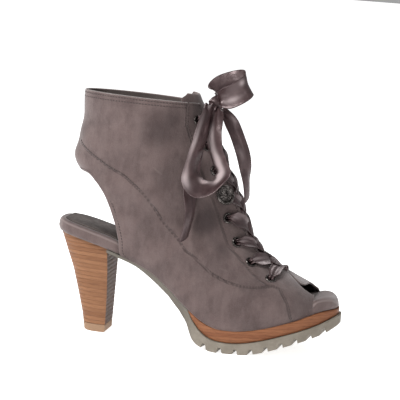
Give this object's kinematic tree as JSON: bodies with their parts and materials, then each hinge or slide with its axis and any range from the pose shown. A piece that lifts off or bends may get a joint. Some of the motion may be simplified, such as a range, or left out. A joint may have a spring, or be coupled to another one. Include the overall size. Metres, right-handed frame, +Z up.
{
  "type": "heeled boot",
  "caption": "Lace-up ankle boot for the right foot with an open toe and heel, ribbon bow, block heel and lugged platform sole.",
  "frame": {"origin": "on the floor, at the middle of the heel's walking face", "axes": "+X from the heel to the toe, +Y to the inner side of the foot, +Z up from the floor"},
  "size_m": [0.2405, 0.0958, 0.2269],
  "materials": {
    "nubuck": "matt nubuck",
    "sock_lining": "smooth matt lining",
    "stacked_wood": "stacked layers, satin",
    "sole_rubber": "matt",
    "satin": "satin ribbon",
    "nickel": "dark nickel",
    "zip_tape": "woven tape with metal teeth"
  },
  "bodies": {
    "boot": {"board": "nubuck", "eyelet_lateral_1": "nickel", "eyelet_lateral_2": "nickel", "eyelet_lateral_3": "nickel", "eyelet_lateral_4": "nickel", "eyelet_lateral_5": "nickel", "eyelet_lateral_6": "nickel", "eyelet_lateral_7": "nickel", "eyelet_lateral_8": "nickel", "eyelet_medial_1": "nickel", "eyelet_medial_2": "nickel", "eyelet_medial_3": "nickel", "eyelet_medial_4": "nickel", "eyelet_medial_5": "nickel", "eyelet_medial_6": "nickel", "eyelet_medial_7": "nickel", "eyelet_medial_8": "nickel", "heel_block": "stacked_wood", "heel_lift": "sole_rubber", "lace_end_front": "satin", "lace_end_side": "satin", "lace_first": "satin", "lace_knot": "satin", "lace_loop_down": "satin", "lace_loop_up": "satin", "lace_second": "satin", "medal": "nickel", "outsole": "sole_rubber", "platform": "stacked_wood", "sock": "sock_lining", "tongue": "nubuck", "upper": "nubuck", "zip_slider": "nickel", "zip_tape": "zip_tape"},
    "zip_pull": {"zip_pull": "nickel"}
  },
  "joints": [
    {"name": "pull_swing", "type": "hinge", "parent": "boot", "child": "zip_pull", "pos_m": [0.02478, 0.03698, 0.18563], "axis": [1, 0, 0], "range_deg": [0, 150]}
  ]
}
